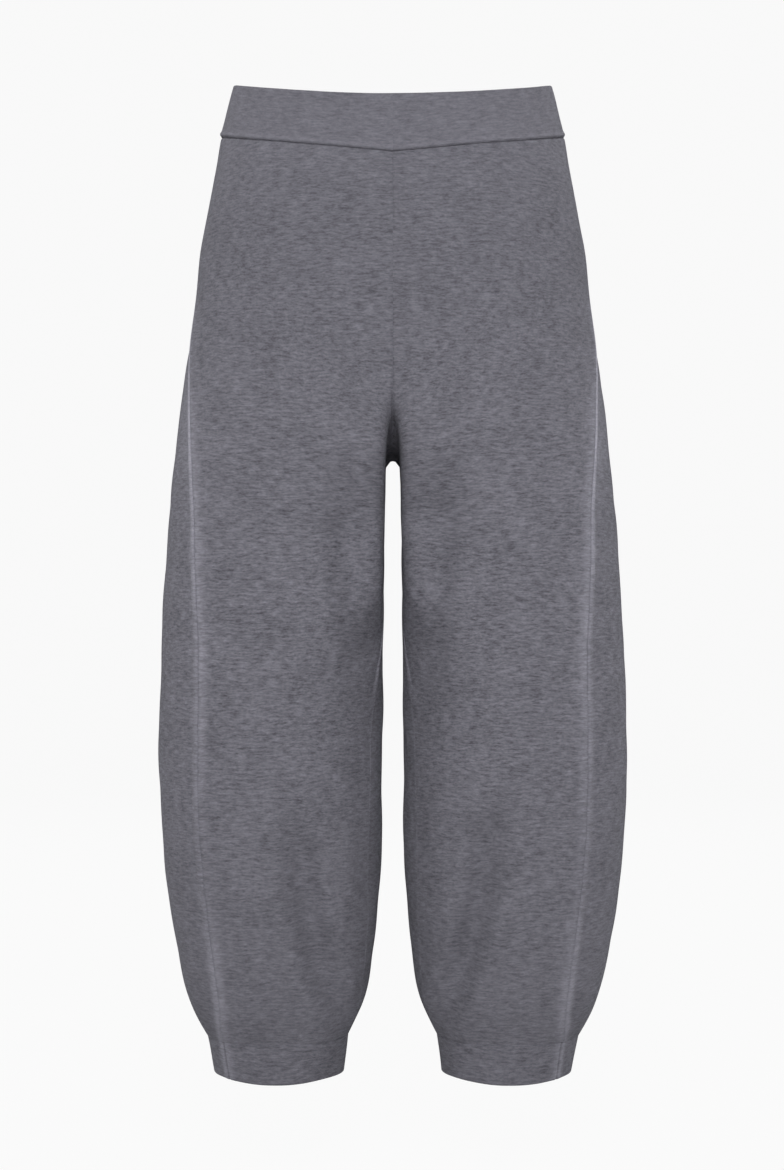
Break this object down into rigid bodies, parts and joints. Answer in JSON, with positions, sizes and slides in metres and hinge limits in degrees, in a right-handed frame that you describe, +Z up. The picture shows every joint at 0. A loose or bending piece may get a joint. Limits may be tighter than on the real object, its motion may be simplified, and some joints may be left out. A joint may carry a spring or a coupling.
{
  "type": "barrel leg trousers",
  "caption": "Pull-on barrel leg trousers in fine grey knit, filled out as if worn: doubled waistband, legs that swell and curve in again, and short close-fitting cuffs.",
  "frame": {"origin": "middle of the waist opening, level with the waistband's top edge at the side", "axes": "+Z up along the body, +X to the wearer's left, -Y to the front"},
  "size_m": [0.4438, 0.2676, 0.9489],
  "materials": {
    "knit_leg": "matt fine knit, grey melange",
    "knit_band": "matt fine knit, grey melange, doubled",
    "knit_cuff": "matt fine knit, grey melange, doubled"
  },
  "bodies": {
    "root": {"waistband": "knit_band", "front_left": "knit_leg", "front_right": "knit_leg", "back_left": "knit_leg", "back_right": "knit_leg", "cuff_left": "knit_cuff", "cuff_right": "knit_cuff"}
  },
  "joints": []
}
